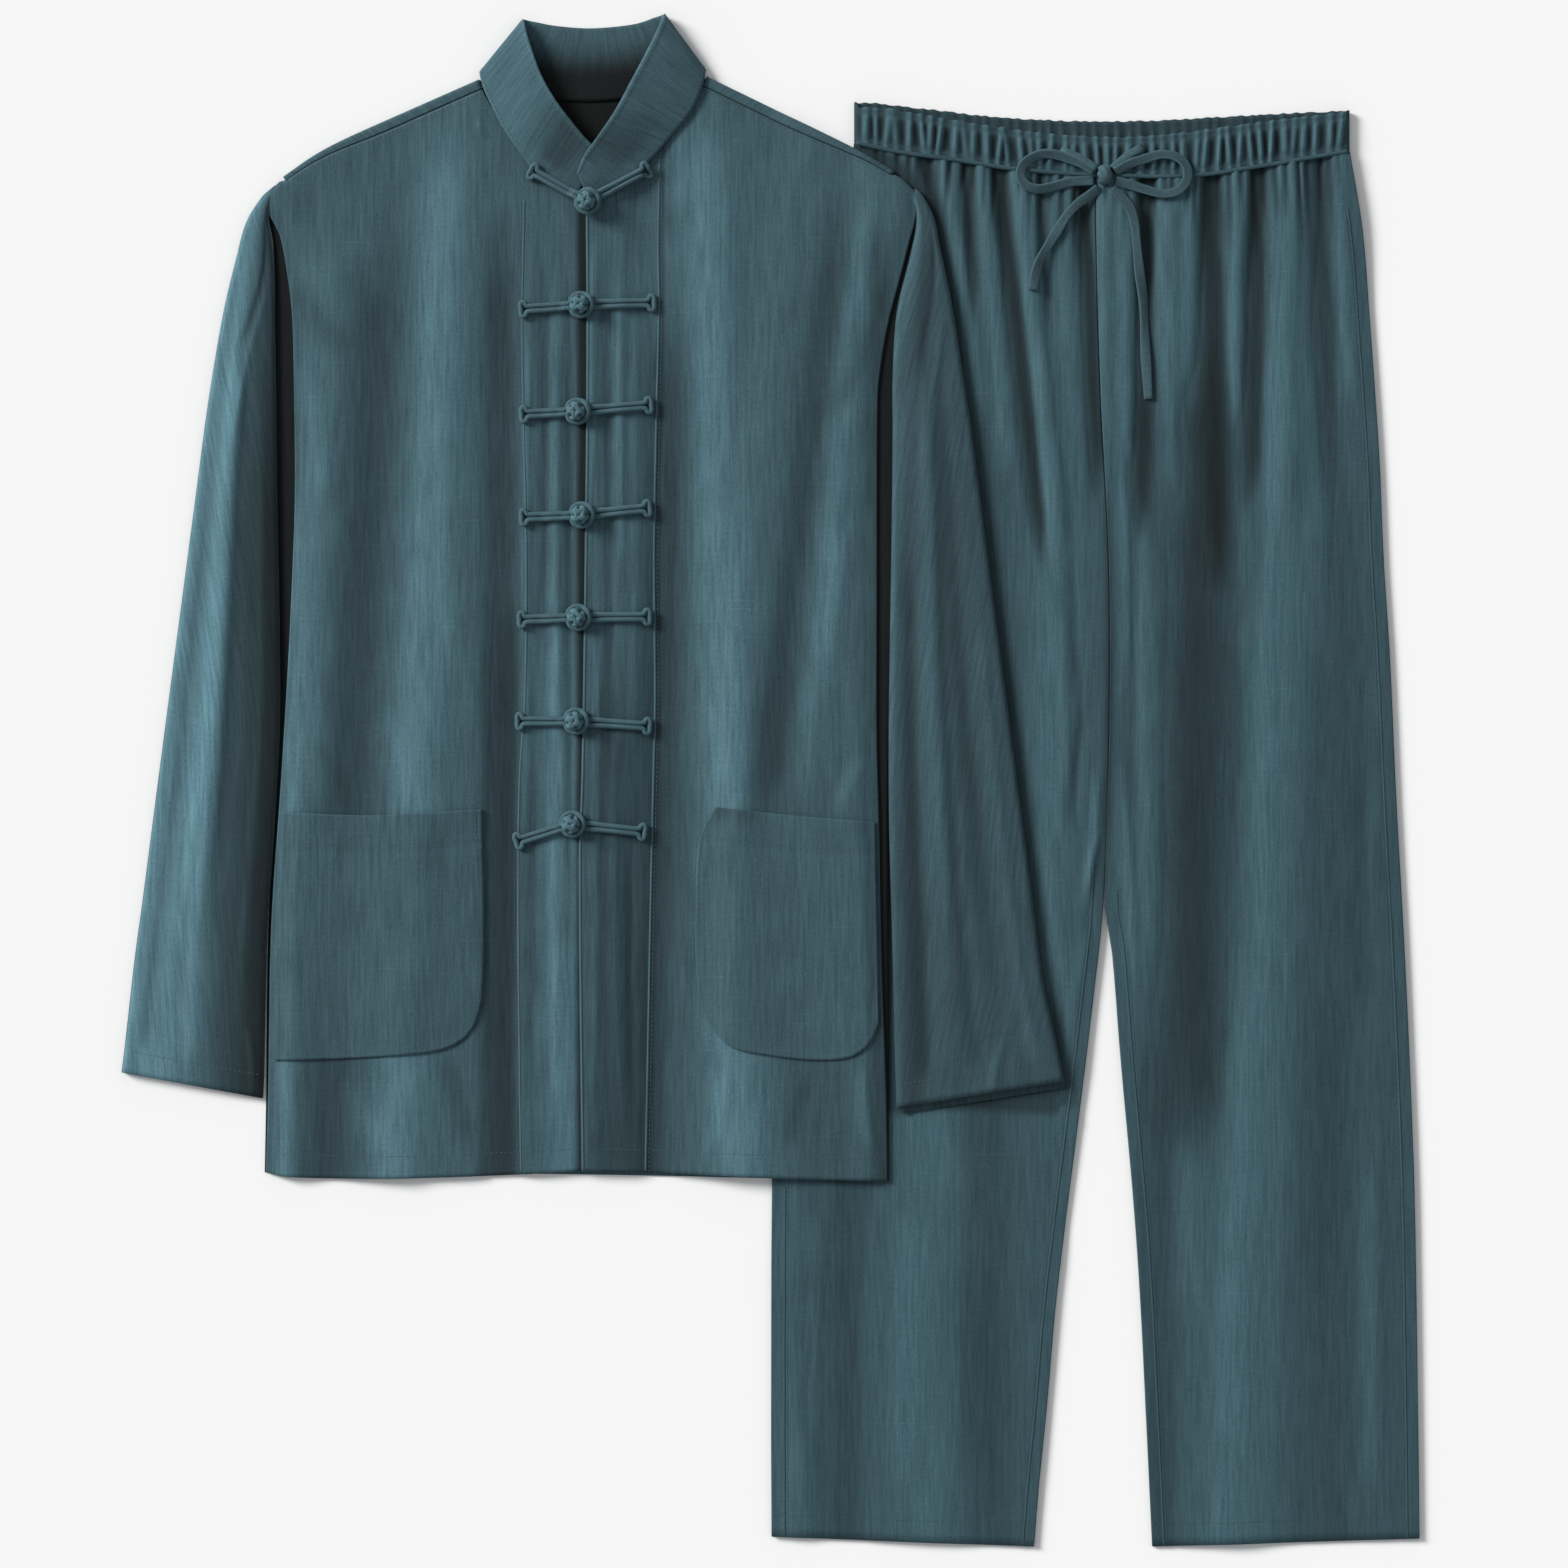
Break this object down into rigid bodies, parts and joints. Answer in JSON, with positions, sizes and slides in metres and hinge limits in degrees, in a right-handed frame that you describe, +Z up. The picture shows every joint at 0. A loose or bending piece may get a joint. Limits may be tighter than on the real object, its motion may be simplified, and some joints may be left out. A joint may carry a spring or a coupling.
{
  "type": "tai chi uniform",
  "caption": "Tai chi uniform laid flat: long-sleeved stand-collar jacket with knotted frog buttons, lying partly over gathered drawstring trousers.",
  "frame": {"origin": "under the middle of the laid-out set, on the surface that it lies on", "axes": "+Z up from the surface, +Y towards the collar and the waistband, +X towards the trousers, to the right in the picture"},
  "size_m": [0.9209, 1.087, 0.0217],
  "materials": {
    "jacket_cloth": "matt slub weave, dark grey teal",
    "trouser_cloth": "matt slub weave, dark grey teal, a little darker",
    "jacket_cord": "matt cloth cord",
    "drawstring_tape": "matt folded tape"
  },
  "bodies": {
    "root": {"collar": "jacket_cloth", "jacket_back": "jacket_cloth", "jacket_front_left": "jacket_cloth", "jacket_front_right": "jacket_cloth", "pocket_left": "jacket_cloth", "pocket_right": "jacket_cloth", "sleeve_left": "jacket_cloth", "sleeve_right": "jacket_cloth", "trouser_back_left": "trouser_cloth", "trouser_back_right": "trouser_cloth", "trouser_front_left": "trouser_cloth", "trouser_front_right": "trouser_cloth", "waistband": "trouser_cloth", "frog_1_ball": "jacket_cord", "frog_1_knot": "jacket_cord", "frog_1_loop": "jacket_cord", "frog_2_ball": "jacket_cord", "frog_2_knot": "jacket_cord", "frog_2_loop": "jacket_cord", "frog_3_ball": "jacket_cord", "frog_3_knot": "jacket_cord", "frog_3_loop": "jacket_cord", "frog_4_ball": "jacket_cord", "frog_4_knot": "jacket_cord", "frog_4_loop": "jacket_cord", "frog_5_ball": "jacket_cord", "frog_5_knot": "jacket_cord", "frog_5_loop": "jacket_cord", "frog_6_ball": "jacket_cord", "frog_6_knot": "jacket_cord", "frog_6_loop": "jacket_cord", "frog_7_ball": "jacket_cord", "frog_7_knot": "jacket_cord", "frog_7_loop": "jacket_cord", "drawstring_knot": "drawstring_tape", "drawstring_loop_left": "drawstring_tape", "drawstring_loop_right": "drawstring_tape", "drawstring_tail_left": "drawstring_tape", "drawstring_tail_right": "drawstring_tape"}
  },
  "joints": []
}
